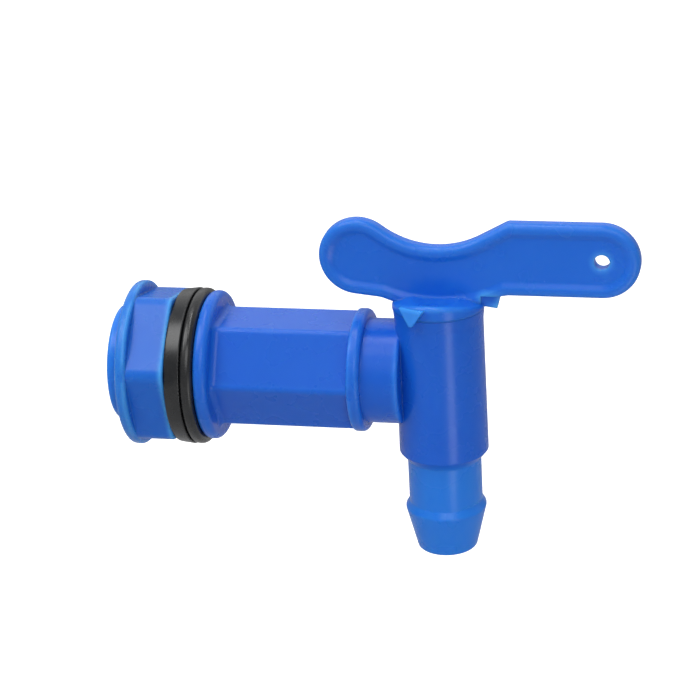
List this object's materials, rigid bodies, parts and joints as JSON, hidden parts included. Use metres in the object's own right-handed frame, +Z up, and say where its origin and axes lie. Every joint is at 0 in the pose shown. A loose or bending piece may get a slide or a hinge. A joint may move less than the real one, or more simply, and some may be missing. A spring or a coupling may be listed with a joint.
{
  "type": "water butt tap",
  "caption": "Plastic lever tap for a water butt: threaded spigot with backnut and rubber washers, hexagonal inlet, upright barrel with a flat turning key, and a barbed hose tail.",
  "frame": {"origin": "middle of the sealing face of the flange, on the axis of the inlet thread", "axes": "+X along the inlet towards the barrel, +Z up along the axis of the key, -X out of the spigot"},
  "size_m": [0.1114, 0.035, 0.074],
  "materials": {
    "body_plastic": "semi-gloss moulded polypropylene, slightly translucent blue",
    "key_plastic": "semi-gloss moulded polypropylene, slightly translucent blue",
    "nut_plastic": "semi-gloss moulded polypropylene, slightly translucent blue",
    "washer_rubber": "soft black rubber with a satin sheen"
  },
  "bodies": {
    "tap": {"tap_body": "body_plastic", "thin_washer": "washer_rubber"},
    "key": {"key": "key_plastic"},
    "nut": {"backnut": "nut_plastic"},
    "washer": {"thick_washer": "washer_rubber"}
  },
  "joints": [
    {"name": "key_turn", "type": "hinge", "parent": "tap", "child": "key", "pos_m": [0.0499, 0, 0], "axis": [0, 0, 1], "range_deg": [-90, 0]},
    {"name": "washer_slide", "type": "slide", "parent": "tap", "child": "washer", "axis": [-1, 0, 0], "range_m": [0, 0.0091]},
    {"name": "nut_turn", "type": "hinge", "parent": "washer", "child": "nut", "pos_m": [-0.012, 0, 0], "axis": [-1, 0, 0], "range_deg": [0, 1800]}
  ],
  "couplings": [
    {"joint": "washer_slide", "follows": "nut_turn", "m_per_rad": 0.00028871}
  ]
}
